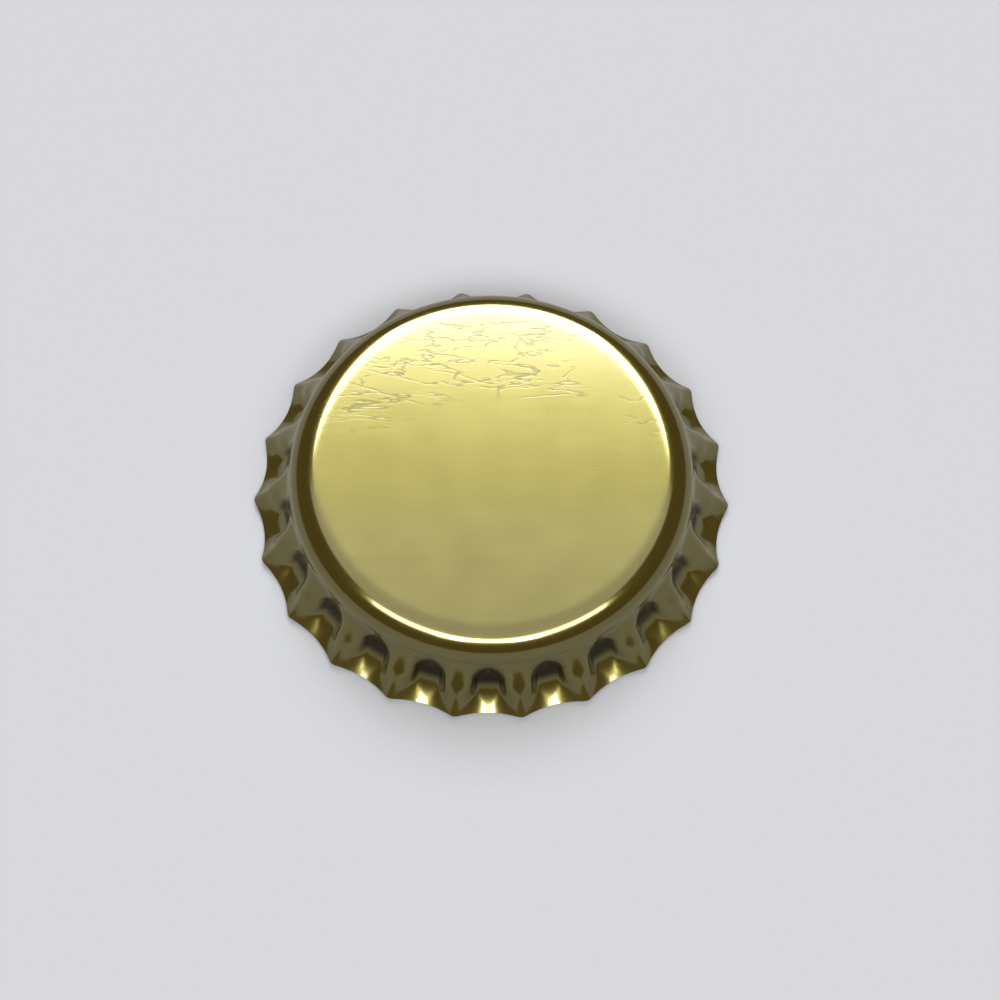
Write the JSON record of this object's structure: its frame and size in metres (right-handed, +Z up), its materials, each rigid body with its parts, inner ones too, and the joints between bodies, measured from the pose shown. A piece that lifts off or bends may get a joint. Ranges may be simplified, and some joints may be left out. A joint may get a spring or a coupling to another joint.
{
  "type": "bottle cap",
  "caption": "Pressed gold-lacquered steel crown cap with a toothed skirt and a moulded sealing liner, lying on its rim with the plain panel up.",
  "frame": {"origin": "middle of the plane that the cap's rim stands on", "axes": "+Z up through the top panel, +X out through a tooth of the skirt"},
  "size_m": [0.0322, 0.0318, 0.006],
  "materials": {
    "lacquered_tinplate": "gloss",
    "liner_plastic": "satin"
  },
  "bodies": {
    "root": {"crown_shell": "lacquered_tinplate", "sealing_liner": "liner_plastic"}
  },
  "joints": []
}
